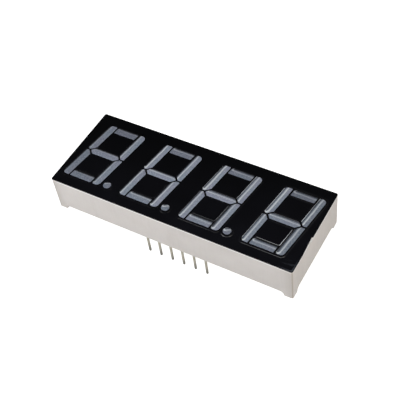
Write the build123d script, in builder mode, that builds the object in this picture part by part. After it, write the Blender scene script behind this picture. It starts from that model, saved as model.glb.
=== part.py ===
"""Four-digit seven-segment display with pins for a printed circuit board.

Sizes are in millimetres and angles in degrees. The four feet stand on z = 0, where the display meets
the board that carries it. The face looks along +Z, and the digits read upright with +Y at the top.
"""

import os
from math import atan2, degrees, radians, sqrt, tan

from build123d import *

os.makedirs("parts", exist_ok=True)

# Reflector housing
body_length = 50.3
body_width = 19.0
body_height = 8.0
body_corner_radius = 0.4
wall = 1.2
recess_corner_radius = 0.3
foot_height = 0.9
foot_run = 1.8
foot_fillet = 0.75

# Black film on the face, worn back along a stretch of its right-hand edge
film_thickness = 0.12
worn_depth = 0.24
worn_start = 1.15
worn_step = 0.25
worn_run = 4.2

# Digits, their cups and the light guides that stand proud of the face
digit_count = 4
pointed_digits = 3
end_trim = 0.25
digit_space = 4.4
digit_height = 14.2
digit_slant = 8.0
stroke = 1.5
segment_gap = 0.33
outer_corner_radius = 0.75
corner_limit_share = 0.85
cup_floor_stroke = 0.9
point_diameter = 1.5
point_gap = 0.69
crown_height = 0.12

# Circuit board behind the reflector, and the light-emitting chips on it
board_thickness = 1.6
board_inset = 0.35
board_clearance = 0.12
chip_size = 0.3
chip_height = 0.2

# Pins
pins_per_row = 6
pin_pitch = 2.54
pin_edge_distance = 0.56
pin_diameter = 0.5
pin_length = 6.1
pin_grip_width = 0.44
pin_grip_overrun = 0.3
pin_hole_clearance = 0.02

# Levels above the seat
film_underside = body_height - film_thickness
crown_top = body_height + crown_height
board_bottom = foot_height + board_inset
board_top = board_bottom + board_thickness
grip_bottom = board_bottom - pin_grip_overrun

# The digits share the body's length in equal cells, of which the two end ones are trimmed
digit_pitch = (body_length + 2 * end_trim) / digit_count
digit_width = digit_pitch - digit_space
digit_places = [((index - (digit_count - 1) / 2) * digit_pitch, 0) for index in range(digit_count)]
bar_names = "abcdefg"
slope = tan(radians(digit_slant))

# The board fits the housing's recess, and the pins stand along its two long edges
recess_length = body_length - 2 * wall
recess_width = body_width - 2 * wall
board_length = recess_length - 2 * board_clearance
board_width = recess_width - 2 * board_clearance
pin_row_spacing = board_width - 2 * pin_edge_distance


def cups_of(index):
    """Names of the cups in one digit: seven bars, and the point where there is one."""
    return [*bar_names, "point"] if index < pointed_digits else [*bar_names]


def leaned(u, v):
    """A place on an upright digit, moved sideways by the digits' slant."""
    return (u + v * slope, v)


def bar_corners(name):
    """Corners of one bar of a digit, leaned. An upright's rounded outer corner comes first.

    The gap between two uprights splits at their centre line into two gaps at 45 degrees,
    which give the middle bar its points and the uprights their slanted inner ends.
    """
    half_width = digit_width / 2
    half_height = digit_height / 2
    half_gap = segment_gap / 2
    diagonal_gap = half_gap * sqrt(2)
    inner = half_width - stroke
    centre = half_width - stroke / 2
    half = 1 if name in "abf" else -1
    side = 1 if name in "bc" else -1
    if name == "g":
        tip = centre - diagonal_gap
        shoulder = tip - stroke / 2
        upper = [(shoulder, stroke / 2), (-shoulder, stroke / 2), (-tip, 0)]
        corners = upper + [(-u, -v) for u, v in upper]
    elif name in "ad":
        reach = inner - segment_gap
        near = half_height - stroke
        corners = [(-reach, half_height), (reach, half_height), (reach, near), (-reach, near)]
    else:
        corners = [
            (half_width, half_height),
            (inner, half_height),
            (inner, stroke / 2 + diagonal_gap),
            (centre + diagonal_gap - half_gap, half_gap),
            (half_width, half_gap),
        ]
    return [leaned(side * u, half * v) for u, v in corners]


def cup_centre(name):
    """Middle of a cup's floor, measured from the centre of its digit."""
    if name == "point":
        return leaned((digit_width + point_diameter) / 2 + point_gap, (point_diameter - digit_height) / 2)
    if name == "g":
        return (0, 0)
    half = 1 if name in "abf" else -1
    if name in "ad":
        return leaned(0, half * (digit_height - stroke) / 2)
    side = 1 if name in "bc" else -1
    return leaned(side * (digit_width - stroke) / 2, half * (digit_height + segment_gap) / 4)


def save(builder, name):
    """Label a finished piece and write it as a STEP file of the same name."""
    builder.part.label = name
    export_step(builder.part, f"parts/{name}.step")


# One cup of each shape: a straight bore for a point, and for a bar a well whose walls have a draft
cup_depth = crown_top - board_top
cup_draft = degrees(atan2((stroke - cup_floor_stroke) / 2, cup_depth))
mouth = Plane.XY.offset(crown_top)
cups = {}
for name in cups_of(0):
    with BuildPart() as cup:
        with BuildSketch(mouth):
            if name == "point":
                with Locations(cup_centre(name)):
                    Circle(point_diameter / 2)
            else:
                with BuildLine():
                    Polyline(*bar_corners(name), close=True)
                make_face()
        extrude(amount=-cup_depth)
        if name != "point":
            draft(cup.faces().filter_by(Axis.Z, reverse=True), mouth, -cup_draft)
        if name in "bcef":
            corner = Vector(*bar_corners(name)[0], crown_top)
            outer_edge = cup.edges().filter_by(Axis.Z, tolerance=45).sort_by_distance(corner)[0]
            fillet(outer_edge, min(outer_corner_radius, corner_limit_share * cup_floor_stroke))
    cups[name] = cup.part

# One chip for each cup, in the middle of its floor
chips = {}
for name in cups_of(0):
    with BuildPart() as chip:
        with Locations((*cup_centre(name), board_top)):
            Box(chip_size, chip_size, chip_height, align=(Align.CENTER, Align.CENTER, Align.MIN))
    chips[name] = chip.part

# Light guides, cast in the cups over the chips
for index, place in enumerate(digit_places):
    digit = f"digit_{index + 1}"
    for name in cups_of(index):
        with BuildPart() as guide:
            with Locations(place):
                add(cups[name])
                add(chips[name], mode=Mode.SUBTRACT)
        save(guide, f"{digit}_decimal_point" if name == "point" else f"{digit}_segment_{name}")
    with BuildPart() as digit_chips:
        with Locations(place):
            for name in cups_of(index):
                add(chips[name])
    save(digit_chips, f"{digit}_led_chips")

# Reflector housing, with the board's recess behind and a cup for every light guide
with BuildPart() as housing:
    with BuildSketch() as outline:
        Rectangle(body_length, body_width)
        fillet(outline.vertices(), body_corner_radius)
    extrude(amount=film_underside)
    with BuildSketch() as recess:
        Rectangle(recess_length, recess_width)
        fillet(recess.vertices(), recess_corner_radius)
    extrude(amount=board_top, mode=Mode.SUBTRACT)
    for plane, length in ((Plane.XZ, body_length), (Plane.YZ, body_width)):
        with BuildSketch(plane) as arch:
            Rectangle(length - 2 * foot_run, foot_height, align=(Align.CENTER, Align.MIN))
            fillet(arch.vertices().group_by(Axis.Y)[-1], foot_fillet)
        extrude(amount=body_length, both=True, mode=Mode.SUBTRACT)
    for index, place in enumerate(digit_places):
        with Locations(place):
            for name in cups_of(index):
                add(cups[name], mode=Mode.SUBTRACT)
save(housing, "reflector_housing")

# Black film, cut to the body's size with a window for every light guide
with BuildPart() as film:
    with BuildSketch(Plane.XY.offset(film_underside)):
        Rectangle(body_length, body_width)
        with BuildLine():
            edge = body_length / 2
            Polyline(
                (edge, -worn_start),
                (edge - worn_depth, -worn_start - worn_step),
                (edge, -worn_start - worn_run),
                close=True,
            )
        make_face(mode=Mode.SUBTRACT)
    extrude(amount=film_thickness)
    for index, place in enumerate(digit_places):
        with Locations(place):
            for name in cups_of(index):
                add(cups[name], mode=Mode.SUBTRACT)
save(film, "face_film")

# Circuit board, drilled for the pins
with BuildPart() as board:
    with BuildSketch(Plane.XY.offset(board_bottom)):
        Rectangle(board_length, board_width)
        with GridLocations(pin_pitch, pin_row_spacing, pins_per_row, 2):
            Circle(pin_grip_width / sqrt(2) + pin_hole_clearance, mode=Mode.SUBTRACT)
    extrude(amount=board_thickness)
save(board, "circuit_board")

# Pins of round wire, each with a tail pressed square to grip its hole in the board.
# They are numbered from the lower left and round the display against the clock.
pin_count = 2 * pins_per_row
for number in range(1, pin_count + 1):
    lower = number <= pins_per_row
    column = number - 1 if lower else pin_count - number
    across = (column - (pins_per_row - 1) / 2) * pin_pitch
    along = -pin_row_spacing / 2 if lower else pin_row_spacing / 2
    with BuildPart() as pin:
        with BuildSketch(Plane((across, along, -pin_length))):
            Circle(pin_diameter / 2)
        extrude(amount=pin_length + grip_bottom)
        with BuildSketch(Plane((across, along, grip_bottom))):
            Rectangle(pin_grip_width, pin_grip_width)
        extrude(amount=board_top - grip_bottom)
    save(pin, f"pin_{number}")
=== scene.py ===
from math import cos, pi, radians, sin, sqrt, tan

import bmesh
import bpy
import numpy as np
from mathutils import Matrix, Vector
from mathutils.geometry import delaunay_2d_cdt


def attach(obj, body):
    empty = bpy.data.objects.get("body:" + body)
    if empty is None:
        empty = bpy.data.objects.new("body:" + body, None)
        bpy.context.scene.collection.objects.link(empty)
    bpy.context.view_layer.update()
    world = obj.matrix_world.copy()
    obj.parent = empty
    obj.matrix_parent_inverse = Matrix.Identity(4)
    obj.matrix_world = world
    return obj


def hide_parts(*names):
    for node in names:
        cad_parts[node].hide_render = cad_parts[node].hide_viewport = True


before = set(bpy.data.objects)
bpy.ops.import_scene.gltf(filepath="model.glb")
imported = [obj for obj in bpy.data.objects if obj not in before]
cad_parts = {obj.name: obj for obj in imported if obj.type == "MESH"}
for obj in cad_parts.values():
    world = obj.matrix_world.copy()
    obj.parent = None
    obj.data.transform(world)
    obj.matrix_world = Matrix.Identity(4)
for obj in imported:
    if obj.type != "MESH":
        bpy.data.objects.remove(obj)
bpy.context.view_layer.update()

# Reflector housing
# One moulding in white filled plastic, with a drafted cup for every light guide, a recess behind for the
# board and a foot at each corner. Its edges have small radii. Its walls have a faint grain. A painted
# highlight makes them paler along the brim, and painted shade makes them darker towards the corners.
MM = 0.001
BODY_LENGTH = 50.3
BODY_WIDTH = 19.0
BODY_CORNER = 0.4
HOUSING_TOP = 7.88
WALL = 1.2
FOOT_HEIGHT = 0.9
FOOT_RUN = 1.8
FOOT_FILLET = 0.75
BOARD_TOP = 2.85
MOULD_RADIUS = 0.10
HOUSING_WHITE = (0.80, 0.766, 0.745)
HOUSING_SHADE = (0.73, 0.693, 0.672)
# Painted shade on the corners of the walls and towards them.
HOUSING_CORNER_SHADE = (0.47, 0.42, 0.37)
# Painted highlight along the top of the walls.
HOUSING_BRIM_HIGHLIGHT = (0.97, 0.95, 0.94)
BRIM_START = 0.40
BRIM_FULL = 0.15
CORNER_REACH = 2.4

DIGIT_PITCH = 12.7
DIGIT_HEIGHT = 14.2
DIGIT_WIDTH = 8.3
DIGIT_SLOPE = tan(radians(8))
STROKE = 1.5
SEGMENT_GAP = 0.33
OUTER_CORNER = 0.75
SMALL_CORNER = 0.14
LEAST_SIDE = 0.08
ARC_SHARE = 0.95
FLOOR_INSET = 0.3
POINT_RADIUS = 0.75
POINT_GAP = 0.69
CROWN_TOP = 8.12
BARS = "abcdefg"
DIGITS = range(4)
POINTED_DIGITS = 3


def leaned(places):
    """Moves places sideways in proportion to their height, by the slant of the digits."""
    places = np.asarray(places, float)
    return np.column_stack([places[:, 0] + places[:, 1] * DIGIT_SLOPE, places[:, 1]])


def bar_corners(name):
    """Corners of a bar, leaned and counter-clockwise, with the radius of each.

    A bar is a rectangle of the stroke's width. The middle bar has pointed ends at 45 degrees, the upright
    bars have one end cut to match, and their outer corner is a large quarter circle.
    """
    half_width, half_height, half_gap = DIGIT_WIDTH / 2, DIGIT_HEIGHT / 2, SEGMENT_GAP / 2
    diagonal = half_gap * sqrt(2)
    inner, centre = half_width - STROKE, half_width - STROKE / 2
    half = 1 if name in "abf" else -1
    side = 1 if name in "bc" else -1
    if name == "g":
        tip = centre - diagonal
        upper = np.array([(tip - STROKE / 2, STROKE / 2), (STROKE / 2 - tip, STROKE / 2), (-tip, 0)])
        corners = np.vstack([upper, -upper])
    elif name in "ad":
        reach, near = inner - SEGMENT_GAP, half_height - STROKE
        corners = np.array([(-reach, half_height), (reach, half_height), (reach, near), (-reach, near)])
    else:
        notch = (centre + diagonal - half_gap, half_gap)
        ends = [(inner, half_height), (inner, STROKE / 2 + diagonal), notch, (half_width, half_gap)]
        corners = np.array([(half_width, half_height), *ends])
    radii = np.full(len(corners), SMALL_CORNER)
    radii[0] = OUTER_CORNER if name in "bcef" else SMALL_CORNER
    corners = leaned(corners * (side, half))
    after = np.roll(corners, -1, axis=0)
    turns = np.sum(corners[:, 0] * after[:, 1] - corners[:, 1] * after[:, 0])
    return (corners, radii) if turns > 0 else (corners[::-1], radii[::-1])


def inset(corners, depth):
    """Moves each side of a counter-clockwise outline inwards, so a corner moves by the sum of its two sides'
    normals over one plus their product. A side that would end up shorter than the least side goes further
    in, between its two neighbours, until it has that length."""
    along = np.roll(corners, -1, axis=0) - corners
    along /= np.linalg.norm(along, axis=1)[:, None]
    normal = np.column_stack([-along[:, 1], along[:, 0]])
    other = np.roll(normal, 1, axis=0)
    moved = corners + depth * (normal + other) / (1 + np.sum(normal * other, axis=1))[:, None]
    for side in range(len(moved)):
        ahead = (side + 1) % len(moved)
        lacking = LEAST_SIDE - (moved[ahead] - moved[side]) @ along[side]
        if lacking > 0:
            first = along[side - 1] / (along[side - 1] @ normal[side])
            last = along[ahead] / (along[ahead] @ normal[side])
            step = lacking / ((last - first) @ along[side])
            moved[side] += step * first
            moved[ahead] += step * last
    return moved


def rounded(corners, radii, steps=7):
    """Gives each corner of a convex outline a quarter-like arc: its centre lies on the corner's bisector at
    radius over sine of the half angle, and it runs between its two points of contact. Two arcs that would
    take up more than a share of the side between them are made smaller to fit."""
    before = np.roll(corners, 1, axis=0) - corners
    after = np.roll(corners, -1, axis=0) - corners
    sides = np.linalg.norm(after, axis=1)
    before /= np.roll(sides, 1)[:, None]
    after /= sides[:, None]
    half = np.arccos(np.sum(before * after, axis=1)) / 2
    contact = radii / np.tan(half)
    room = np.minimum(ARC_SHARE * sides / (contact + np.roll(contact, -1)), 1)
    radii = radii * np.minimum(room, np.roll(room, 1))
    bisector = before + after
    bisector /= np.linalg.norm(bisector, axis=1)[:, None]
    centre = corners + bisector * (radii / np.sin(half))[:, None]
    first = corners + before * (radii / np.tan(half))[:, None] - centre
    start = np.arctan2(first[:, 1], first[:, 0])
    angle = start[:, None] + np.linspace(0, 1, steps) * (pi - 2 * half)[:, None]
    arcs = np.stack([np.cos(angle), np.sin(angle)], axis=-1) * radii[:, None, None]
    return (centre[:, None] + arcs).reshape(-1, 2)


def point_circle(radius, steps=48):
    """Round outline of a decimal point, which stands at the lower right of its digit."""
    turn = np.arange(steps) * 2 * pi / steps
    height = POINT_RADIUS - DIGIT_HEIGHT / 2
    middle = leaned([(DIGIT_WIDTH / 2 + POINT_RADIUS + POINT_GAP, height)])
    return middle + radius * np.column_stack([np.cos(turn), np.sin(turn)])


def window(name, depth):
    """Outline of one cup, `depth` inside its mouth."""
    if name == "point":
        return point_circle(POINT_RADIUS - depth)
    corners, radii = bar_corners(name)
    return rounded(inset(corners, depth), np.maximum(radii - depth / 2, SMALL_CORNER / 2))


def cups_of(digit):
    """Names of a digit's cups, and the place of its centre along the body."""
    names = [*BARS, "point"] if digit < POINTED_DIGITS else [*BARS]
    return names, np.array([(digit - (len(DIGITS) - 1) / 2) * DIGIT_PITCH, 0])


def drafted(level):
    """How far a cup's wall stands inside its mouth at a level, as its draft goes evenly with depth."""
    return FLOOR_INSET * (CROWN_TOP - level) / (CROWN_TOP - BOARD_TOP)


def level_ring(outline, level):
    """An outline raised to a level, or to one level for each of its places."""
    return np.column_stack([outline, np.broadcast_to(level, len(outline))])


def skin(rings):
    """Joins each ring to the next by quads, closed round. Rings that go down face outwards."""
    rings = np.asarray(rings)
    count, size = rings.shape[:2]
    index = np.arange(count * size).reshape(count, size)
    beside = np.roll(index, -1, axis=1)
    quads = np.stack([index[:-1], index[1:], beside[1:], beside[:-1]], axis=-1)
    return rings.reshape(-1, 3), quads.reshape(-1, 4)


def plate(level, *loops, up=True):
    """Flat sheet between closed loops: a Delaunay mesh that keeps the loops as edges, of which the triangles
    stay whose middles lie inside an odd number of loops."""
    sizes = [len(loop) for loop in loops]
    starts = np.cumsum([0, *sizes[:-1]])
    turns = [np.column_stack([np.arange(n), np.roll(np.arange(n), -1)]) + s for n, s in zip(sizes, starts)]
    points = [Vector(place) for place in np.vstack(loops).tolist()]
    found = delaunay_2d_cdt(points, np.vstack(turns).tolist(), [], 0, 1e-7)
    flat, triangles = np.array(found[0]), np.array(found[2])
    x, y = flat[triangles].mean(axis=1).T[:, :, None]
    inside = np.zeros(len(triangles), bool)
    for loop in loops:
        ax, ay = loop.T
        bx, by = np.roll(loop, -1, axis=0).T
        spans = (ay > y) != (by > y)
        rise = np.where(by == ay, 1, by - ay)
        inside ^= np.sum(spans & (x < ax + (y - ay) * (bx - ax) / rise), axis=1) % 2 == 1
    triangles = triangles[inside]
    a, b, c = flat[triangles].transpose(1, 0, 2)
    clockwise = (b[:, 0] - a[:, 0]) * (c[:, 1] - a[:, 1]) < (b[:, 1] - a[:, 1]) * (c[:, 0] - a[:, 0])
    turned = clockwise if up else ~clockwise
    triangles[turned] = triangles[turned][:, ::-1]
    return level_ring(flat, level), triangles


def add_piece(name, parts, material, replaced=(), sharp=32):
    """Makes one object from (points, faces) pairs in millimetres, with seams merged and sharp edges kept."""
    starts = np.cumsum([0] + [len(points) for points, faces in parts[:-1]])
    faces = [face for start, (points, quads) in zip(starts, parts) for face in (quads + start).tolist()]
    mesh = bpy.data.meshes.new(name)
    mesh.from_pydata((np.vstack([points for points, quads in parts]) * MM).tolist(), [], faces)
    merged = bmesh.new()
    merged.from_mesh(mesh)
    bmesh.ops.remove_doubles(merged, verts=merged.verts, dist=1e-4 * MM)
    bmesh.ops.dissolve_degenerate(merged, edges=merged.edges, dist=1e-5 * MM)
    merged.to_mesh(mesh)
    merged.free()
    mesh.set_sharp_from_angle(angle=radians(sharp))
    sides = np.empty(len(mesh.polygons), np.int32)
    mesh.polygons.foreach_get("loop_total", sides)
    mesh.polygons.foreach_set("use_smooth", sides == 4)
    mesh.materials.append(material)
    piece = bpy.data.objects.new(name, mesh)
    bpy.context.scene.collection.objects.link(piece)
    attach(piece, "root")
    if replaced:
        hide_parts(*replaced)
    return piece


def body_path(depth, corner_steps=9, arch_steps=9):
    """Stations round the body, `depth` inside its outline, and the height of the housing's rim at each.

    Every side is a straight run joined to the next by a quarter circle. The rim is on the seat under the
    feet, and between them it goes up a short step and a quarter circle to the height of the feet.
    """
    places, heights = [], []
    swing = np.linspace(0, pi / 2, arch_steps)
    bend = np.linspace(0, pi / 2, corner_steps)[1:-1]
    radius = BODY_CORNER - depth
    for side in range(4):
        along = np.array([(1, 0), (0, 1), (-1, 0), (0, -1)][side])
        outward = np.array([along[1], -along[0]])
        reach, out = (BODY_LENGTH / 2, BODY_WIDTH / 2)[:: 1 if side % 2 == 0 else -1]
        opening = reach - FOOT_RUN
        arch = FOOT_FILLET * (1 - np.cos(swing)) - opening
        rise = FOOT_HEIGHT - FOOT_FILLET * (1 - np.sin(swing))
        run = np.concatenate([[BODY_CORNER - reach, -opening], arch])
        run = np.concatenate([run, -run[::-1]])
        height = np.concatenate([[0, 0], rise])
        places.append(run[:, None] * along + (out - depth) * outward)
        heights += [height, height[::-1], np.zeros(len(bend))]
        hub = (reach - BODY_CORNER) * along + (out - BODY_CORNER) * outward
        places.append(hub + radius * (np.cos(bend)[:, None] * outward + np.sin(bend)[:, None] * along))
    return np.vstack(places), np.concatenate(heights)


def place_nodes(tree, steps):
    """Adds shader nodes in order. A step is (name, type, settings, inputs), and an input is a value, or the
    name of an earlier step with an output after a dot."""
    made = {}
    for name, kind, settings, inputs in steps:
        node = tree.nodes.new(kind)
        for key, value in settings.items():
            setattr(node, key, value)
        for key, value in inputs.items():
            if isinstance(value, str):
                source, output = value.split(".")
                output = int(output) if output.isdigit() else output
                tree.links.new(made[source].outputs[output], node.inputs[key])
            else:
                node.inputs[key].default_value = value
        made[name] = node
    return made


def new_finish(name, steps, feeds, **values):
    """A material on one Principled shader: its steps of nodes, what feeds each socket, and plain values."""
    material = bpy.data.materials.new(name)
    material.use_nodes = True
    tree = material.node_tree
    shader = tree.nodes["Principled BSDF"]
    made = place_nodes(tree, steps)
    for socket, source in feeds.items():
        step, output = source.split(".")
        output = int(output) if output.isdigit() else output
        tree.links.new(made[step].outputs[output], shader.inputs[socket])
    for socket, value in values.items():
        shader.inputs[socket.replace("_", " ")].default_value = value
    return material


def mottle_group():
    """Node group for blotches and grain: two scales of noise on a position in metres, each put out as a mask
    from 0 to 1."""
    tree = bpy.data.node_groups.new("blotch_and_grain", "ShaderNodeTree")
    tree.interface.new_socket("Position", in_out="INPUT", socket_type="NodeSocketVector")
    for name in ("Blotch Scale", "Grain Scale"):
        tree.interface.new_socket(name, in_out="INPUT", socket_type="NodeSocketFloat")
    for name in ("Blotch", "Grain"):
        tree.interface.new_socket(name, in_out="OUTPUT", socket_type="NodeSocketFloat")
    place_nodes(
        tree,
        [
            ("given", "NodeGroupInput", {}, {}),
            ("blotch", "ShaderNodeTexNoise", {}, {"Vector": "given.0", "Scale": "given.1", "Detail": 3.0}),
            ("grain", "ShaderNodeTexNoise", {}, {"Vector": "given.0", "Scale": "given.2", "Detail": 2.0}),
            ("soft", "ShaderNodeMapRange", {}, {"Value": "blotch.0", "From Min": 0.3, "From Max": 0.7}),
            ("fine", "ShaderNodeMapRange", {}, {"Value": "grain.0", "From Min": 0.25, "From Max": 0.75}),
            ("result", "NodeGroupOutput", {}, {"Blotch": "soft.0", "Grain": "fine.0"}),
        ],
    )
    return tree


blotch_and_grain = mottle_group()

moulded_white = new_finish(
    "moulded_white_plastic",
    [
        ("where", "ShaderNodeTexCoord", {}, {}),
        ("mottle", "ShaderNodeGroup", {"node_tree": blotch_and_grain},
         {"Position": "where.Object", "Blotch Scale": 260.0, "Grain Scale": 5200.0}),
        ("drawn", "ShaderNodeVectorMath", {"operation": "MULTIPLY"}, {0: "where.Object", 1: (1, 1, 0.1)}),
        ("drag", "ShaderNodeTexNoise", {}, {"Vector": "drawn.0", "Scale": 1600.0, "Detail": 2.0}),
        ("mixed", "ShaderNodeMath", {"operation": "MULTIPLY"}, {0: "mottle.Blotch", 1: "drag.0"}),
        ("flow", "ShaderNodeMath", {"operation": "MULTIPLY"}, {0: "mixed.0", 1: 1.4}),
        ("white", "ShaderNodeMix", {"data_type": "RGBA"},
         {0: "flow.0", 6: (*HOUSING_WHITE, 1), 7: (*HOUSING_SHADE, 1)}),
        # Painted shade: darker round the rounded corners, and towards the corners along the long walls.
        ("facing", "ShaderNodeSeparateXYZ", {}, {"Vector": "where.Normal"}),
        ("both", "ShaderNodeMath", {"operation": "MULTIPLY"}, {0: "facing.0", 1: "facing.1"}),
        ("turned", "ShaderNodeMath", {"operation": "ABSOLUTE"}, {0: "both.0"}),
        ("edge", "ShaderNodeMapRange", {}, {"Value": "turned.0", "From Min": 0.34, "From Max": 0.5,
                                            "To Max": 0.7}),
        ("axes", "ShaderNodeSeparateXYZ", {}, {"Vector": "where.Object"}),
        # Painted highlight: the walls grow paler towards the brim.
        ("brim", "ShaderNodeMapRange", {"interpolation_type": "SMOOTHSTEP"},
         {"Value": "axes.2", "From Min": (HOUSING_TOP - BRIM_START) * MM,
          "From Max": (HOUSING_TOP - BRIM_FULL) * MM}),
        ("rubbed", "ShaderNodeMix", {"data_type": "RGBA"},
         {0: "brim.0", 6: "white.2", 7: (*HOUSING_BRIM_HIGHLIGHT, 1)}),
        ("folded", "ShaderNodeVectorMath", {"operation": "ABSOLUTE"}, {0: "where.Object"}),
        ("plan", "ShaderNodeVectorMath", {"operation": "MULTIPLY"}, {0: "folded.0", 1: (1, 1, 0)}),
        ("apart", "ShaderNodeVectorMath", {"operation": "DISTANCE"},
         {0: "plan.0", 1: (BODY_LENGTH / 2 * MM, BODY_WIDTH / 2 * MM, 0)}),
        ("near", "ShaderNodeMapRange", {"interpolation_type": "SMOOTHSTEP"},
         {"Value": "apart.Value", "From Max": CORNER_REACH * MM, "To Min": 0.32, "To Max": 0.0}),
        ("long", "ShaderNodeMath", {"operation": "ABSOLUTE"}, {0: "facing.1"}),
        ("ends", "ShaderNodeMath", {"operation": "MULTIPLY_ADD", "use_clamp": True},
         {0: "near.0", 1: "long.0", 2: "edge.0"}),
        ("tone", "ShaderNodeMix", {"data_type": "RGBA"}, {0: "ends.0", 6: "rubbed.2", 7: (*HOUSING_CORNER_SHADE, 1)}),
        ("gloss", "ShaderNodeMapRange", {}, {"Value": "mottle.Grain", "To Min": 0.38, "To Max": 0.56}),
        ("grain", "ShaderNodeBump", {}, {"Height": "mottle.Grain", "Strength": 0.12, "Distance": 0.00002}),
    ],
    {"Base Color": "tone.2", "Roughness": "gloss.0", "Normal": "grain.0"},
    Subsurface_Weight=0.08,
    Subsurface_Radius=(0.0012, 0.001, 0.0008),
    IOR=1.5,
)

quarter = np.linspace(0, pi / 2, 5)
recess = np.array([BODY_LENGTH, BODY_WIDTH]) / 2 - WALL
outer, rim = body_path(0)
inner = np.clip(outer, -recess, recess)
across = (outer - inner) / np.linalg.norm(outer - inner, axis=1)[:, None]
rings = [level_ring(body_path(MOULD_RADIUS * (1 - sin(a)))[0], HOUSING_TOP - MOULD_RADIUS * (1 - cos(a)))
         for a in quarter]
top_edge = rings[0][:, :2]
rings += [level_ring(body_path(MOULD_RADIUS * (1 - cos(a)))[0], rim + MOULD_RADIUS * (1 - sin(a)))
          for a in quarter]
rings += [level_ring(inner + across * MOULD_RADIUS * (1 - sin(a)), rim + MOULD_RADIUS * (1 - cos(a)))
          for a in quarter]
rings.append(level_ring(inner, BOARD_TOP))
mouths, floors, cup_walls = [], [], []
for digit in DIGITS:
    names, place = cups_of(digit)
    for name in names:
        mouth = window(name, drafted(HOUSING_TOP)) + place
        floor = window(name, drafted(BOARD_TOP)) + place
        mouths.append(mouth)
        floors.append(floor)
        cup_walls.append(skin([level_ring(floor, BOARD_TOP), level_ring(mouth, HOUSING_TOP)]))
housing_parts = [skin(rings), plate(HOUSING_TOP, top_edge, *mouths)]
housing_parts += [plate(BOARD_TOP, inner, *floors, up=False), *cup_walls]
add_piece("reflector_shell", housing_parts, moulded_white, ["reflector_housing"])

# Black film
# A printed plastic film laid over the face, with a window for every light guide. Where it is pressed over
# the cups it stands up in a low step round each digit and point. Wear has taken its right-hand edge back
# in one place. Its front right corner has fine scuffing lines and a painted highlight that curves round
# it along the edges. The sides of the steps carry a painted highlight, and a painted sheen lightens the
# film towards the front and right.
FILM_TOP = 8.0
FILM_EDGE = 0.03
FILM_CORNER = 0.35
STEP_HEIGHTS = (0.003, 0.005, 0.026, 0.054)
GENTLE_SLOPE = tan(radians(12))
OUTER_SLOPE = tan(radians(58))
COLLAR_SHIFT = (0.12, -0.14)
COLLAR_HEIGHTS = (0.008, 0.02, 0.06)
SIDE_SLOPE = tan(radians(28.5))
SILL_SLOPE = tan(radians(24))
RAISED_LEFT, RAISED_RIGHT, RAISED_TOP, RAISED_BOTTOM = 0.05, 0.30, 0.16, 0.42
UPPER_GAP, LOWER_GAP, POINT_COLLAR = 0.07, 0.20, 0.36
OPENING_CORNER = 0.32
WORN_DEPTH = 0.24
WORN_START = -1.15
WORN_STEP = 0.25
WORN_RUN = 4.2
FILM_BLACK = (0.0026, 0.0028, 0.0036)
# Painted sheen on the film, lighter towards the front and right.
FILM_SHEEN = (0.0100, 0.0102, 0.0148)
# Painted highlight on the sides of the film's steps.
CREASE_HIGHLIGHT_GREY = (0.055, 0.057, 0.062)
CREASE_GAIN = 12
CREASE_START = 0.8
CREASE_RUN = 16
CREASE_LEAST = 0.15
# Painted highlight round the front right corner, over fine scuffing lines there.
SCUFF_AND_GLINT_GREY = (0.105, 0.120, 0.145)
SCUFF_AND_GLINT_REACH = 3.4
# Place, half width and bend of the painted highlight along the edges near the corner.
GLINT_PLACE = 0.22
GLINT_HALF = 0.18
GLINT_BEND = 0.6


def digit_loops(drop):
    """Outer outline of the film's raised area round a digit and the outlines of its two openings, at a `drop`
    below the top of the step. Each side moves out or in by the drop over the slope of that side, which is
    gentle but for the lower and right-hand sides of the outline and of the lower opening."""
    half_width, half_height = DIGIT_WIDTH / 2, DIGIT_HEIGHT / 2
    gentle, outer, side, sill = drop / np.array([GENTLE_SLOPE, OUTER_SLOPE, SIDE_SLOPE, SILL_SLOPE])
    boxes = [
        (-half_width - RAISED_LEFT - gentle, half_width + RAISED_RIGHT + outer,
         -half_height - RAISED_BOTTOM - outer, half_height + RAISED_TOP + gentle),
        (STROKE + UPPER_GAP + gentle - half_width, half_width - STROKE - UPPER_GAP - gentle,
         STROKE / 2 + UPPER_GAP + gentle, half_height - STROKE - UPPER_GAP - gentle),
        (STROKE + LOWER_GAP + gentle - half_width, half_width - STROKE - LOWER_GAP - side,
         STROKE + LOWER_GAP + sill - half_height, -STROKE / 2 - LOWER_GAP - gentle),
    ]
    radii = (OUTER_CORNER + outer, OPENING_CORNER, OPENING_CORNER - side)
    return [rounded(leaned([(left, low), (right, low), (right, high), (left, high)]),
                    np.full(4, radius), steps=13)
            for (left, right, low, high), radius in zip(boxes, radii)]


def film_outline(depth):
    """Outline of the film, `depth` inside its edge: a rectangle with rounded corners, and a shallow bite with
    a steep end, which wear has taken out of its right-hand side."""
    x, y = BODY_LENGTH / 2, BODY_WIDTH / 2
    bite = [(x, WORN_START - WORN_RUN), (x - WORN_DEPTH, WORN_START - WORN_STEP), (x, WORN_START)]
    corners = inset(np.array([(-x, -y), (x, -y), *bite, (x, y), (-x, y)]), depth)
    arcs = rounded(np.delete(corners, (2, 3, 4), axis=0), np.full(4, FILM_CORNER - depth))
    front, back = np.split(arcs, 2)
    return np.vstack([front, corners[2:5], back])


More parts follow.
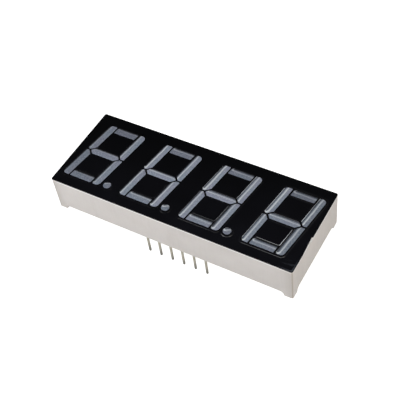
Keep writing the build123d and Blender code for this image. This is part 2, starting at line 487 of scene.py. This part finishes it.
gloss_black = new_finish(
    "gloss_black_film",
    [
        ("where", "ShaderNodeTexCoord", {}, {}),
        ("crease", "ShaderNodeAttribute", {"attribute_name": "crease"}, {}),
        ("mottle", "ShaderNodeGroup", {"node_tree": blotch_and_grain},
         {"Position": "where.Object", "Blotch Scale": 420.0, "Grain Scale": 3000.0}),
        # Painted highlight on the sides of the steps, in blotches.
        ("worn", "ShaderNodeMath", {"operation": "MULTIPLY"}, {0: "crease.Fac", 1: "mottle.Blotch"}),
        # Painted sheen: the print grows lighter towards the front and right, in clouds.
        ("cloud", "ShaderNodeTexNoise", {}, {"Vector": "where.Object", "Scale": 130.0, "Detail": 2.0}),
        ("veil", "ShaderNodeMapRange", {},
         {"Value": "cloud.0", "From Min": 0.3, "From Max": 0.7, "To Min": 0.4}),
        ("axes", "ShaderNodeSeparateXYZ", {}, {"Vector": "where.Object"}),
        ("lower", "ShaderNodeMath", {"operation": "MULTIPLY_ADD"}, {0: "axes.1", 1: -45.0, 2: 0.45}),
        ("right", "ShaderNodeMath", {"operation": "MULTIPLY_ADD"}, {0: "axes.0", 1: 10.0, 2: "lower.0"}),
        ("haze", "ShaderNodeMath", {"operation": "MULTIPLY"}, {0: "veil.0", 1: "right.0"}),
        ("print", "ShaderNodeMix", {"data_type": "RGBA"},
         {0: "haze.0", 6: (*FILM_BLACK, 1), 7: (*FILM_SHEEN, 1)}),
        # Painted highlight curving along the edges near the front right corner, with fine scuffing lines,
        # both fading away from the corner.
        ("offset", "ShaderNodeVectorMath", {"operation": "SUBTRACT"},
         {0: "where.Object", 1: (BODY_LENGTH / 2 * MM, -BODY_WIDTH / 2 * MM, FILM_TOP * MM)}),
        ("apart", "ShaderNodeVectorMath", {"operation": "LENGTH"}, {0: "offset.0"}),
        ("inward", "ShaderNodeVectorMath", {"operation": "ABSOLUTE"}, {0: "offset.0"}),
        ("legs", "ShaderNodeSeparateXYZ", {}, {"Vector": "inward.0"}),
        ("margin", "ShaderNodeMath", {"operation": "SMOOTH_MIN"},
         {0: "legs.0", 1: "legs.1", 2: GLINT_BEND * MM}),
        ("aside", "ShaderNodeMath", {"operation": "SUBTRACT"}, {0: "margin.0", 1: GLINT_PLACE * MM}),
        ("away", "ShaderNodeMath", {"operation": "ABSOLUTE"}, {0: "aside.0"}),
        ("hem", "ShaderNodeMapRange", {"interpolation_type": "SMOOTHSTEP"},
         {"Value": "away.0", "From Max": GLINT_HALF * MM, "To Min": 1.0, "To Max": 0.0}),
        ("near", "ShaderNodeMapRange", {"interpolation_type": "SMOOTHSTEP"},
         {"Value": "apart.Value", "From Max": SCUFF_AND_GLINT_REACH * MM, "To Min": 0.8, "To Max": 0.0}),
        ("drawn", "ShaderNodeVectorMath", {"operation": "MULTIPLY"}, {0: "where.Object", 1: (0.2, 1, 1)}),
        ("lines", "ShaderNodeTexNoise", {}, {"Vector": "drawn.0", "Scale": 2600.0, "Detail": 2.0}),
        ("thin", "ShaderNodeMapRange", {}, {"Value": "lines.0", "From Min": 0.52, "From Max": 0.75}),
        ("rubs", "ShaderNodeMath", {"operation": "MAXIMUM"}, {0: "thin.0", 1: "hem.0"}),
        ("scuff", "ShaderNodeMath", {"operation": "MULTIPLY"}, {0: "rubs.0", 1: "near.0"}),
        ("rubbed", "ShaderNodeMix", {"data_type": "RGBA"}, {0: "scuff.0", 6: "print.2", 7: (*SCUFF_AND_GLINT_GREY, 1)}),
        ("tone", "ShaderNodeMix", {"data_type": "RGBA"}, {0: "worn.0", 6: "rubbed.2", 7: (*CREASE_HIGHLIGHT_GREY, 1)}),
        ("smooth", "ShaderNodeMapRange", {}, {"Value": "mottle.Blotch", "To Min": 0.05, "To Max": 0.10}),
        ("gloss", "ShaderNodeMath", {"operation": "MULTIPLY_ADD"}, {0: "worn.0", 1: 0.12, 2: "smooth.0"}),
        ("ripple", "ShaderNodeBump", {}, {"Height": "mottle.Grain", "Strength": 0.02, "Distance": 0.00002}),
    ],
    {"Base Color": "tone.2", "Roughness": "gloss.0", "Normal": "ripple.0", "Coat Weight": "crease.Fac"},
    IOR=1.46,
    Coat_IOR=2.2,
    Coat_Roughness=0.12,
)

film_rings = [level_ring(film_outline(FILM_EDGE * (1 - sin(a))), FILM_TOP - FILM_EDGE * (1 - cos(a)))
              for a in quarter]
film_rings.append(level_ring(film_outline(0), HOUSING_TOP))
film_parts = [skin(film_rings)]
outer_loops, windows = [], []
for digit in DIGITS:
    names, place = cups_of(digit)
    here = [window(name, drafted(FILM_TOP)) + place for name in names]
    windows += here
    raised = FILM_TOP + STEP_HEIGHTS[digit]
    film_parts += [skin([level_ring(loop, HOUSING_TOP), level_ring(loop, raised)]) for loop in here]
    levels = (raised, FILM_TOP)
    steps = [np.array([level_ring(digit_loops(raised - z)[part] + place, z) for z in levels])
             for part in range(3)]
    film_parts += [skin(steps[0]), skin(steps[1][::-1]), skin(steps[2][::-1])]
    outer_loops.append(steps[0][-1][:, :2])
    film_parts.append(plate(raised, *[part[0][:, :2] for part in steps], *here[: len(BARS)]))
    film_parts += [plate(FILM_TOP, part[-1][:, :2]) for part in steps[1:]]
    if "point" in names:
        crest = FILM_TOP + COLLAR_HEIGHTS[digit]
        spread = POINT_RADIUS + POINT_COLLAR
        collar = [level_ring(point_circle(spread + (crest - z) / OUTER_SLOPE) + place + COLLAR_SHIFT, z)
                  for z in (crest, FILM_TOP)]
        lip = level_ring(here[-1], raised)
        film_parts.append(skin([lip, *collar]))
        outer_loops.append(collar[-1][:, :2])
film_parts.append(plate(FILM_TOP, film_rings[0][:, :2], *outer_loops))
film_parts.append(plate(HOUSING_TOP, film_outline(0), *windows, up=False))
film = add_piece("black_face_film", film_parts, gloss_black, ["face_film"], sharp=15)
# The sides of the steps are creases, stronger towards the right-hand end and weaker where they face right.
# Their mask paints them grey as a highlight and gives them a coat.
normals = np.empty(len(film.data.polygons) * 3, np.float32)
film.data.polygons.foreach_get("normal", normals)
normals = normals.reshape(-1, 3)
middles = np.empty_like(normals)
film.data.polygons.foreach_get("center", middles.ravel())
steep = np.minimum((1 - np.abs(normals[:, 2])) * CREASE_GAIN, 1)
rightward = np.maximum(normals[:, 0], 0) / np.maximum(np.hypot(normals[:, 0], normals[:, 1]), 1e-6)
towards_end = np.clip((middles[:, 0] / MM - CREASE_START) / CREASE_RUN, CREASE_LEAST, 1)
crease = steep * (1 - rightward ** 2) * towards_end
film.data.attributes.new("crease", "FLOAT", "FACE").data.foreach_set("value", crease.astype(np.float32))

# Light guides
# Milky resin cast in the cups from behind, one bar or point in each. The cast stands a little proud of the
# film, with a soft bevel round a flat top. Its colour holds painted light: painted shade darkens each bar
# towards its left or upper edge, more on some bars and towards the ends of the body, and a painted
# highlight, a pale streak and a thin pale rim along it that join round one end, stands in for the light
# on the bevel.
CROWN_RUN = 0.62
CROWN_FOOT = 0.28
CROWN_STEPS = 10
# Colour of the painted shade at the left or upper edge of each bar.
MILKY_SHADE = (0.018, 0.020, 0.024)
MILKY_GREY = (0.335, 0.400, 0.515)
# Pale colour of the painted highlight, and of the specks in the resin.
MILKY_LIGHT = (0.90, 0.95, 1.0)
MILKY_MAUVE = (0.370, 0.402, 0.530)
# Painted highlight: a pale streak and a thin pale rim along each bar that join round one end.
RIM_PLACE = 0.08
RIM_HALF = 0.12
STREAK_HALF = 0.27
TIP_PLACE = 0.55
# Share of each bar's body colour over its painted shade, bar by bar. The painted shade also grows towards
# both ends of the body.
LIT_SHARE = {"a": 0.68, "b": 1.04, "c": 1.02, "d": 0.87, "e": 1.02, "f": 1.05, "g": 1.06, "point": 0.74}
END_SHADE = 0.38
HEADING = {"a": 90, "b": 0, "c": 0, "d": 90, "e": 0, "f": 0, "g": 90, "point": 55}
STREAK = {"a": 0.35, "b": 1.0, "c": 0.9, "d": 0.5, "e": 0.95, "f": 1.4, "g": 0.65, "point": 0.7}
RIM = {"a": 0.1, "b": 1.6, "c": 0.2, "d": 0.1, "e": 1.0, "f": 1.6, "g": 0.5, "point": 0.8}
ALONG_BODY = {"Value": "axes.0", "From Min": -22 * MM, "From Max": 14 * MM}

milky_resin = new_finish(
    "milky_cast_resin",
    [
        ("flow", "ShaderNodeUVMap", {"uv_map": "flow"}, {}),
        ("where", "ShaderNodeTexCoord", {}, {}),
        ("axes", "ShaderNodeSeparateXYZ", {}, {"Vector": "where.Object"}),
        ("mottle", "ShaderNodeGroup", {"node_tree": blotch_and_grain},
         {"Position": "where.Object", "Blotch Scale": 420.0, "Grain Scale": 3600.0}),
        ("run", "ShaderNodeSeparateXYZ", {}, {"Vector": "flow.0"}),
        # Painted shade: dark at the edge that the heading looks away from, fading in across the bar.
        ("reach", "ShaderNodeMapRange", {}, {**ALONG_BODY, "To Min": 0.43, "To Max": 0.55}),
        ("start", "ShaderNodeMapRange", {}, {**ALONG_BODY, "To Min": 0.12, "To Max": 0.07}),
        ("shade", "ShaderNodeMapRange", {"interpolation_type": "SMOOTHSTEP"},
         {"Value": "run.1", "From Min": "start.0", "From Max": "reach.0"}),
        # Painted highlight: streak, rim and tip loop, further across the bar and stronger towards the
        # right-hand end.
        ("place", "ShaderNodeMapRange", {}, {**ALONG_BODY, "To Min": 0.44, "To Max": 0.74}),
        ("middle", "ShaderNodeMath", {"operation": "MULTIPLY_ADD"}, {0: "place.0", 1: 0.5, 2: RIM_PLACE / 2}),
        ("radius", "ShaderNodeMath", {"operation": "MULTIPLY_ADD"},
         {0: "place.0", 1: 0.5, 2: -RIM_PLACE / 2}),
        ("sway", "ShaderNodeMath", {"operation": "MULTIPLY_ADD"}, {0: "mottle.Blotch", 1: 0.10, 2: "run.1"}),
        ("aside", "ShaderNodeMath", {"operation": "SUBTRACT"}, {0: "sway.0", 1: "middle.0"}),
        ("above", "ShaderNodeMath", {"operation": "SUBTRACT"}, {0: "run.0", 1: TIP_PLACE}),
        ("below", "ShaderNodeMath", {"operation": "MINIMUM"}, {0: "above.0", 1: 0.0}),
        ("spot", "ShaderNodeCombineXYZ", {}, {"X": "aside.0", "Y": "below.0"}),
        ("round", "ShaderNodeVectorMath", {"operation": "LENGTH"}, {0: "spot.0"}),
        ("off", "ShaderNodeMath", {"operation": "SUBTRACT"}, {0: "round.Value", 1: "radius.0"}),
        ("apart", "ShaderNodeMath", {"operation": "ABSOLUTE"}, {0: "off.0"}),
        ("broad", "ShaderNodeMapRange", {}, {"Value": "aside.0", "From Min": -0.2, "From Max": 0.1,
                                             "To Min": RIM_HALF, "To Max": STREAK_HALF}),
        ("loop", "ShaderNodeMapRange", {"interpolation_type": "SMOOTHSTEP"},
         {"Value": "apart.0", "From Max": "broad.0", "To Min": 1.0, "To Max": 0.0}),
        ("along", "ShaderNodeMapRange", {}, {"Value": "axes.0", "From Min": -0.024, "From Max": -0.008,
                                             "To Min": 0.1, "To Max": 1.0}),
        ("strong", "ShaderNodeAttribute", {"attribute_name": "streak"}, {}),
        ("drawn", "ShaderNodeMath", {"operation": "MULTIPLY"}, {0: "along.0", 1: "strong.Fac"}),
        ("fade", "ShaderNodeMapRange", {}, {"Value": "run.0", "From Min": 0.5, "From Max": 6.0,
                                            "To Min": 1.1, "To Max": 0.8}),
        ("faded", "ShaderNodeMath", {"operation": "MULTIPLY"}, {0: "drawn.0", 1: "fade.0"}),
        ("crept", "ShaderNodeAttribute", {"attribute_name": "rim"}, {}),
        ("wet", "ShaderNodeMapRange", {}, {"Value": "axes.0", "From Min": -0.002, "From Max": 0.015}),
        ("rim", "ShaderNodeMath", {"operation": "MULTIPLY"}, {0: "crept.Fac", 1: "wet.0"}),
        ("half", "ShaderNodeMapRange", {"interpolation_type": "SMOOTHSTEP"},
         {"Value": "aside.0", "From Min": -0.2, "From Max": 0.1, "To Min": "rim.0", "To Max": 1.0}),
        ("tip", "ShaderNodeMapRange", {"interpolation_type": "SMOOTHSTEP"},
         {"Value": "run.0", "From Min": 0.2, "From Max": 0.7, "To Min": 0.7, "To Max": 0.0}),
        ("ends", "ShaderNodeMath", {"operation": "ADD"}, {0: "tip.0", 1: "half.0"}),
        ("part", "ShaderNodeMath", {"operation": "MULTIPLY"}, {0: "loop.0", 1: "ends.0"}),
        ("lit", "ShaderNodeMath", {"operation": "MULTIPLY"}, {0: "part.0", 1: "faded.0"}),
        ("cloud", "ShaderNodeTexNoise", {}, {"Vector": "where.Object", "Scale": 330.0, "Detail": 1.0}),
        ("hue", "ShaderNodeMapRange", {}, {"Value": "cloud.0", "From Min": 0.38, "From Max": 0.62}),
        ("resin", "ShaderNodeMix", {"data_type": "RGBA"},
         {0: "hue.0", 6: (*MILKY_GREY, 1), 7: (*MILKY_MAUVE, 1)}),
        ("specks", "ShaderNodeMapRange", {}, {"Value": "mottle.Grain", "To Min": -0.1, "To Max": 0.3}),
        ("body", "ShaderNodeMix", {"data_type": "RGBA", "clamp_factor": False},
         {0: "specks.0", 6: "resin.2", 7: (*MILKY_LIGHT, 1)}),
        ("milk", "ShaderNodeAttribute", {"attribute_name": "milk"}, {}),
        ("share", "ShaderNodeMath", {"operation": "MULTIPLY"}, {0: "shade.0", 1: "milk.Fac"}),
        ("cast", "ShaderNodeMix", {"data_type": "RGBA", "clamp_factor": False},
         {0: "share.0", 6: (*MILKY_SHADE, 1), 7: "body.2"}),
        # The painted highlight laid over the cast's colour.
        ("tone", "ShaderNodeMix", {"data_type": "RGBA"}, {0: "lit.0", 6: "cast.2", 7: (*MILKY_LIGHT, 1)}),
        ("gloss", "ShaderNodeMapRange", {}, {"Value": "mottle.Grain", "To Min": 0.16, "To Max": 0.34}),
        ("grain", "ShaderNodeBump", {}, {"Height": "mottle.Grain", "Strength": 0.10, "Distance": 0.00002}),
    ],
    {"Base Color": "tone.2", "Roughness": "gloss.0", "Normal": "grain.0"},
    IOR=1.52,
)


def add_flow(piece, heading):
    """Lays a UV map in millimetres on a cast: how far along its bar from the lower or left end, and how far
    across it from the edge that the heading looks away from. The two axes are turned by the heading."""
    mesh = piece.data
    points = np.empty(len(mesh.vertices) * 3)
    mesh.vertices.foreach_get("co", points)
    x, y, z = points.reshape(-1, 3).T / MM
    sideways = x - y * DIGIT_SLOPE
    c, s = cos(radians(heading)), sin(radians(heading))
    flow = np.column_stack([sideways * s + y * c, sideways * c - y * s])
    flow -= flow.min(axis=0)
    corners = np.empty(len(mesh.loops), np.int32)
    mesh.loops.foreach_get("vertex_index", corners)
    mesh.uv_layers.new(name="flow").data.foreach_set("uv", flow[corners].ravel())


climb = np.linspace(0, 1, CROWN_STEPS)
crown_depths = CROWN_RUN * climb
crown_levels = CROWN_TOP - (CROWN_TOP - FILM_TOP) * (1 - CROWN_FOOT) * (1 - climb) ** 2
for digit in DIGITS:
    names, place = cups_of(digit)
    for name in names:
        node = f"digit_{digit + 1}_" + ("decimal_point" if name == "point" else f"segment_{name}")
        crown = [level_ring(window(name, depth) + place, level)
                 for depth, level in zip(crown_depths[::-1], crown_levels[::-1])]
        base = window(name, drafted(BOARD_TOP)) + place
        rings = [*crown, level_ring(base, BOARD_TOP)]
        parts = [skin(rings), plate(CROWN_TOP, crown[0][:, :2]), plate(BOARD_TOP, base, up=False)]
        piece_name = f"light_guide_{digit + 1}_{name}"
        guide = add_piece(piece_name, parts, milky_resin, [node], sharp=60)
        add_flow(guide, HEADING[name])
        # Painted shade, stronger towards both ends of the body.
        milk = LIT_SHARE[name] * (1 - END_SHADE * abs(base.mean(axis=0)[0] / BODY_LENGTH * 2) ** 3)
        for attribute, value in (("milk", milk), ("streak", STREAK[name]), ("rim", RIM[name])):
            values = np.full(len(guide.data.vertices), value, np.float32)
            guide.data.attributes.new(attribute, "FLOAT", "POINT").data.foreach_set("value", values)

# Circuit board and chips
# A glass-fibre laminate with tinned pads round the pins and copper tracks under clear resin, which closes
# the recess. On its hidden side one light-emitting chip stands under each cup.
LAMINATE = (0.34, 0.37, 0.20)
LAMINATE_LIGHT = (0.47, 0.47, 0.28)
TRACK = (0.40, 0.36, 0.17)
PAD_TIN = (0.62, 0.60, 0.55)
PIN_PITCH = 2.54
PIN_ROW = 7.62
PINS_IN_ROW = 6
PAD_RADIUS = 0.55
CHIP_RED = (0.45, 0.20, 0.12)
CHIP_AMBER = (0.55, 0.34, 0.14)

board_finish = new_finish(
    "laminate_under_resin",
    [
        ("where", "ShaderNodeTexCoord", {}, {}),
        ("mottle", "ShaderNodeGroup", {"node_tree": blotch_and_grain},
         {"Position": "where.Object", "Blotch Scale": 350.0, "Grain Scale": 4000.0}),
        ("weave", "ShaderNodeTexWave", {"wave_type": "BANDS", "bands_direction": "DIAGONAL"},
         {"Vector": "where.Object", "Scale": 900.0, "Distortion": 1.5}),
        ("fibre", "ShaderNodeMath", {"operation": "MULTIPLY_ADD"},
         {0: "weave.1", 1: 0.35, 2: "mottle.Blotch"}),
        ("ground", "ShaderNodeMix", {"data_type": "RGBA"},
         {0: "fibre.0", 6: (*LAMINATE, 1), 7: (*LAMINATE_LIGHT, 1)}),
        ("layout", "ShaderNodeTexBrick", {"offset": 0.35, "squash": 1.4},
         {"Vector": "where.Object", "Scale": 220.0, "Mortar Size": 0.04, "Mortar Smooth": 0.2,
          "Brick Width": 2.6, "Row Height": 0.55}),
        ("tracked", "ShaderNodeMix", {"data_type": "RGBA"}, {0: "layout.1", 6: "ground.2", 7: (*TRACK, 1)}),
        ("axes", "ShaderNodeSeparateXYZ", {}, {"Vector": "where.Object"}),
        ("wrapped", "ShaderNodeMath", {"operation": "PINGPONG"}, {0: "axes.0", 1: PIN_PITCH / 2 * MM}),
        ("near", "ShaderNodeMath", {"operation": "SUBTRACT"}, {0: PIN_PITCH / 2 * MM, 1: "wrapped.0"}),
        ("side", "ShaderNodeMath", {"operation": "ABSOLUTE"}, {0: "axes.1"}),
        ("row", "ShaderNodeMath", {"operation": "SUBTRACT"}, {0: "side.0", 1: PIN_ROW * MM}),
        ("offset", "ShaderNodeCombineXYZ", {}, {"X": "near.0", "Y": "row.0"}),
        ("apart", "ShaderNodeVectorMath", {"operation": "LENGTH"}, {0: "offset.0"}),
        ("pad", "ShaderNodeMath", {"operation": "LESS_THAN"}, {0: "apart.Value", 1: PAD_RADIUS * MM}),
        ("span", "ShaderNodeMath", {"operation": "ABSOLUTE"}, {0: "axes.0"}),
        ("used", "ShaderNodeMath", {"operation": "LESS_THAN"},
         {0: "span.0", 1: PINS_IN_ROW / 2 * PIN_PITCH * MM}),
        ("padded", "ShaderNodeMath", {"operation": "MULTIPLY"}, {0: "pad.0", 1: "used.0"}),
        ("tone", "ShaderNodeMix", {"data_type": "RGBA"}, {0: "padded.0", 6: "tracked.2", 7: (*PAD_TIN, 1)}),
        ("ripple", "ShaderNodeBump", {}, {"Height": "mottle.Blotch", "Strength": 0.15, "Distance": 0.0001}),
    ],
    {"Base Color": "tone.2", "Normal": "ripple.0"},
    Roughness=0.35,
    Coat_Weight=1.0,
    Coat_Roughness=0.06,
)
chip_finish = new_finish(
    "light_emitting_crystal",
    [
        ("where", "ShaderNodeTexCoord", {}, {}),
        ("mottle", "ShaderNodeGroup", {"node_tree": blotch_and_grain},
         {"Position": "where.Object", "Blotch Scale": 4000.0, "Grain Scale": 20000.0}),
        ("tone", "ShaderNodeMix", {"data_type": "RGBA"},
         {0: "mottle.Blotch", 6: (*CHIP_RED, 1), 7: (*CHIP_AMBER, 1)}),
    ],
    {"Base Color": "tone.2"},
    Roughness=0.2,
)
finishes = {f"digit_{digit + 1}_led_chips": chip_finish for digit in DIGITS}
finishes["circuit_board"] = board_finish
for node, finish in finishes.items():
    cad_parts[node].data.materials.clear()
    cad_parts[node].data.materials.append(finish)

# Pins
# Twelve lengths of tinned round wire in two rows. Each has a tail pressed square to grip its hole in the
# board, and a free end cut off with a slightly rounded edge.
PIN_RADIUS = 0.25
PIN_TIP = -6.1
GRIP_BOTTOM = 0.95
GRIP_HALF = 0.22
PIN_STEPS = 24
TIP_RISES = (0.12, 0.05, 0.01, 0)
TIP_RADII = (0.25, 0.235, 0.20, 0.15)
# The tin is darker towards the free ends, in blotches.
DARK_LEVEL = -6.2
BRIGHT_LEVEL = -3.5
TIN_BRIGHT = (0.80, 0.76, 0.66)
TIN_DARK = (0.34, 0.33, 0.31)

tinned_wire = new_finish(
    "tinned_round_wire",
    [
        ("where", "ShaderNodeTexCoord", {}, {}),
        ("mottle", "ShaderNodeGroup", {"node_tree": blotch_and_grain},
         {"Position": "where.Object", "Blotch Scale": 900.0, "Grain Scale": 5000.0}),
        ("axes", "ShaderNodeSeparateXYZ", {}, {"Vector": "where.Object"}),
        ("height", "ShaderNodeMapRange", {},
         {"Value": "axes.2", "From Min": DARK_LEVEL * MM, "From Max": BRIGHT_LEVEL * MM}),
        ("dull", "ShaderNodeMath", {"operation": "MULTIPLY_ADD"},
         {0: "mottle.Blotch", 1: -0.25, 2: "height.0"}),
        ("tone", "ShaderNodeMix", {"data_type": "RGBA", "clamp_factor": True},
         {0: "dull.0", 6: (*TIN_DARK, 1), 7: (*TIN_BRIGHT, 1)}),
        ("gloss", "ShaderNodeMapRange", {}, {"Value": "mottle.Grain", "To Min": 0.26, "To Max": 0.45}),
        ("draw", "ShaderNodeBump", {}, {"Height": "mottle.Grain", "Strength": 0.15, "Distance": 0.00002}),
    ],
    {"Base Color": "tone.2", "Roughness": "gloss.0", "Normal": "draw.0"},
    Metallic=0.85,
)
spin = np.arange(PIN_STEPS) * 2 * pi / PIN_STEPS
circle = np.column_stack([np.cos(spin), np.sin(spin)])
square = circle / np.abs(circle).max(axis=1)[:, None]
wire_levels = [GRIP_BOTTOM, *(PIN_TIP + np.array(TIP_RISES))]
wire_radii = [PIN_RADIUS, *TIP_RADII]
pin_places = [((column - (PINS_IN_ROW - 1) / 2) * PIN_PITCH, -PIN_ROW) for column in range(PINS_IN_ROW)]
pin_places += [(x, -y) for x, y in pin_places[::-1]]
for number, place in enumerate(pin_places, 1):
    wire = [level_ring(circle * r + place, z) for r, z in zip(wire_radii, wire_levels)]
    tail = [level_ring(square * GRIP_HALF + place, z) for z in (BOARD_TOP, GRIP_BOTTOM)]
    parts = [skin([*tail, *wire]), plate(BOARD_TOP, tail[0][:, :2])]
    parts.append(plate(PIN_TIP, wire[-1][:, :2], up=False))
    add_piece(f"wire_pin_{number}", parts, tinned_wire, [f"pin_{number}"])

# Solder joints
# A cone of solder round every pin, drawn up the wire from its pad by the heat of the joint. Its side is a
# hollow curve that ends thin on the wire.
BOARD_BOTTOM = 1.25
SOLDER_FOOT = 0.52
SOLDER_HEIGHT = 0.33
SOLDER_EDGE = 0.012
SOLDER_HOLLOW = 2.4
share = np.linspace(0, 1, 9)
solder_parts = []
for place in pin_places:
    side = PIN_RADIUS + SOLDER_EDGE + (SOLDER_FOOT - PIN_RADIUS) * share[::-1] ** SOLDER_HOLLOW
    cone = [level_ring(circle * r + place, z) for r, z in zip(side, BOARD_BOTTOM - SOLDER_HEIGHT * share)]
    bore = [level_ring(circle * PIN_RADIUS + place, z) for z in (BOARD_BOTTOM - SOLDER_HEIGHT, BOARD_BOTTOM)]
    solder_parts.append(skin([*cone, *bore, cone[0]]))
solder_finish = tinned_wire.copy()
solder_finish.name = "bright_solder"
solder_finish.node_tree.nodes["Principled BSDF"].inputs["Metallic"].default_value = 1.0
add_piece("solder_joints", solder_parts, solder_finish)

# Sealing resin
# Clear resin run in round the board from behind. It wets the wall of the recess and sets in a hollow fillet
# that bridges the gap between the board and the housing.
FILLET_RUN = 0.75
FILLET_RISE = 0.26
RESIN_TINT = (0.50, 0.47, 0.30)
RESIN_PALE = (0.60, 0.57, 0.42)
resin_finish = new_finish(
    "clear_sealing_resin",
    [
        ("where", "ShaderNodeTexCoord", {}, {}),
        ("mottle", "ShaderNodeGroup", {"node_tree": blotch_and_grain},
         {"Position": "where.Object", "Blotch Scale": 500.0, "Grain Scale": 4000.0}),
        ("tone", "ShaderNodeMix", {"data_type": "RGBA"},
         {0: "mottle.Blotch", 6: (*RESIN_TINT, 1), 7: (*RESIN_PALE, 1)}),
        ("ripple", "ShaderNodeBump", {}, {"Height": "mottle.Blotch", "Strength": 0.1, "Distance": 0.0001}),
    ],
    {"Base Color": "tone.2", "Normal": "ripple.0"},
    Roughness=0.08,
    Transmission_Weight=0.45,
    IOR=1.5,
)
recess_corners = np.array([(-1, -1), (1, -1), (1, 1), (-1, 1)]) * recess
hollow = [level_ring(inset(recess_corners, FILLET_RUN * s), BOARD_BOTTOM - FILLET_RISE * (1 - s) ** 2)
          for s in share]
base = [level_ring(inset(recess_corners, run), BOARD_BOTTOM) for run in (FILLET_RUN, 0)]
add_piece("sealing_resin", [skin([*base, *hollow])], resin_finish)

# Floor
# A plain white table under the display, which stands on the tips of its pins.
FLOOR_SIZE = 3.0
TABLE_SHADE = (0.66, 0.66, 0.65)
TABLE_WHITE = (0.70, 0.70, 0.69)
floor_finish = new_finish(
    "white_table",
    [
        ("where", "ShaderNodeTexCoord", {}, {}),
        ("mottle", "ShaderNodeGroup", {"node_tree": blotch_and_grain},
         {"Position": "where.Object", "Blotch Scale": 3.0, "Grain Scale": 400.0}),
        ("tone", "ShaderNodeMix", {"data_type": "RGBA"},
         {0: "mottle.Blotch", 6: (*TABLE_SHADE, 1), 7: (*TABLE_WHITE, 1)}),
        ("ray", "ShaderNodeLightPath", {}, {}),
        ("glow", "ShaderNodeMapRange", {}, {"Value": "ray.0", "To Min": 0.08, "To Max": 1.0}),
        ("facing", "ShaderNodeNewGeometry", {}, {}),
        ("front", "ShaderNodeMath", {"operation": "SUBTRACT"}, {0: 1.0, 1: "facing.Backfacing"}),
    ],
    {"Base Color": "tone.2", "Emission Strength": "glow.0", "Alpha": "front.0"},
    Roughness=0.9,
    Specular_IOR_Level=0.0,
    Emission_Color=(1, 1, 1, 1),
)
floor_mesh = bpy.data.meshes.new("floor")
floor_corners = np.array([(-1, -1), (1, -1), (1, 1), (-1, 1)]) * FLOOR_SIZE / 2
floor_mesh.from_pydata(level_ring(floor_corners, PIN_TIP * MM).tolist(), [], [(0, 1, 2, 3)])
floor_mesh.materials.append(floor_finish)
floor = bpy.data.objects.new("floor", floor_mesh)
bpy.context.scene.collection.objects.link(floor)

# Studio light
# Soft boxes above, before, to the right and behind the display, and a narrow one behind its left end that
# draws the bright lines along the film's steps. The room is pale near the horizon and dark above, so that
# the film stays black.
AIM = Vector((0, 0, 4 * MM))


def soft_box(name, direction, long_side, distance, size, radiance, colour=(1, 1, 1)):
    """Area light at a distance along a direction, facing the display, with its first side along `long_side`.
    Its power is pi times its area times its radiance."""
    light = bpy.data.lights.new(name, "AREA")
    light.shape = "RECTANGLE"
    light.size, light.size_y = size
    light.energy = pi * size[0] * size[1] * radiance
    light.color = colour
    back = Vector(direction).normalized()
    side = Vector(long_side)
    side = (side - back * side.dot(back)).normalized()
    up = back.cross(side)
    lamp = bpy.data.objects.new(name, light)
    turned = Matrix((side, up, back)).transposed().to_4x4()
    lamp.matrix_world = Matrix.Translation(AIM + back * distance) @ turned
    bpy.context.scene.collection.objects.link(lamp)


soft_box("overhead", (0.35, -0.45, 0.82), (1, 0, 0), 0.5, (0.5, 0.3), 2.5)
soft_box("front", (-0.72, -0.66, 0.18), (1, 0, 0), 0.14, (0.16, 0.10), 1.5)
soft_box("right", (0.96, -0.20, 0.20), (0, 1, 0), 0.35, (0.3, 0.2), 1.5, (1, 0.90, 0.78))
soft_box("left", (-0.78, 0.62, 0.115), (0.62, 0.78, 0), 0.5, (0.40, 0.075), 2.4, (0.88, 0.94, 1))
soft_box("back", (-0.26, 0.96, 0.12), (0.96, 0.26, 0), 0.5, (0.26, 0.09), 0.5, (0.88, 0.94, 1))

world = bpy.data.worlds.new("studio")
world.use_nodes = True
bpy.context.scene.world = world
room = place_nodes(
    world.node_tree,
    [
        ("where", "ShaderNodeTexCoord", {}, {}),
        ("axes", "ShaderNodeSeparateXYZ", {}, {"Vector": "where.Generated"}),
        ("height", "ShaderNodeMapRange", {"interpolation_type": "SMOOTHSTEP"},
         {"Value": "axes.2", "From Min": 0.12, "From Max": 0.36, "To Min": 0.82, "To Max": 0.03}),
        ("ray", "ShaderNodeLightPath", {}, {}),
        ("seen", "ShaderNodeMath", {"operation": "MAXIMUM"}, {0: "ray.0", 1: "height.0"}),
    ],
)
background = world.node_tree.nodes["Background"]
background.inputs["Color"].default_value = (1, 1, 1, 1)
world.node_tree.links.new(room["seen"].outputs[0], background.inputs["Strength"])

# Camera
# It stands before the display to the right, about 160 mm away, and looks down on it by fifty degrees with a
# slight roll. The field of view is given as the focal length in pixels of the square frame.
AZIMUTH, ELEVATION, ROLL = radians(36.164), radians(49.801), radians(-8.787)
OFFSET = np.array([-0.958, 2.535, 164.184])
FOCAL_PIXELS, FRAME_PIXELS = 860.864, 400
back = np.array([sin(AZIMUTH) * cos(ELEVATION), -cos(AZIMUTH) * cos(ELEVATION), sin(ELEVATION)])
right = np.array([cos(AZIMUTH), sin(AZIMUTH), 0])
upward = np.cross(back, right)
rolled = np.array([[cos(ROLL), -sin(ROLL), 0], [sin(ROLL), cos(ROLL), 0], [0, 0, 1]])
view_axes = rolled @ np.array([right, -upward, -back])
lens = bpy.data.cameras.new("camera")
lens.sensor_width = 36
lens.lens = FOCAL_PIXELS * lens.sensor_width / FRAME_PIXELS
lens.clip_start = 0.001
camera = bpy.data.objects.new("camera", lens)
pose = np.eye(4)
pose[:3, :3] = np.column_stack([view_axes[0], -view_axes[1], -view_axes[2]])
pose[:3, 3] = -view_axes.T @ OFFSET * MM
camera.matrix_world = Matrix(pose.tolist())
bpy.context.scene.collection.objects.link(camera)
bpy.context.scene.camera = camera
bpy.context.scene.view_settings.view_transform = "Standard"
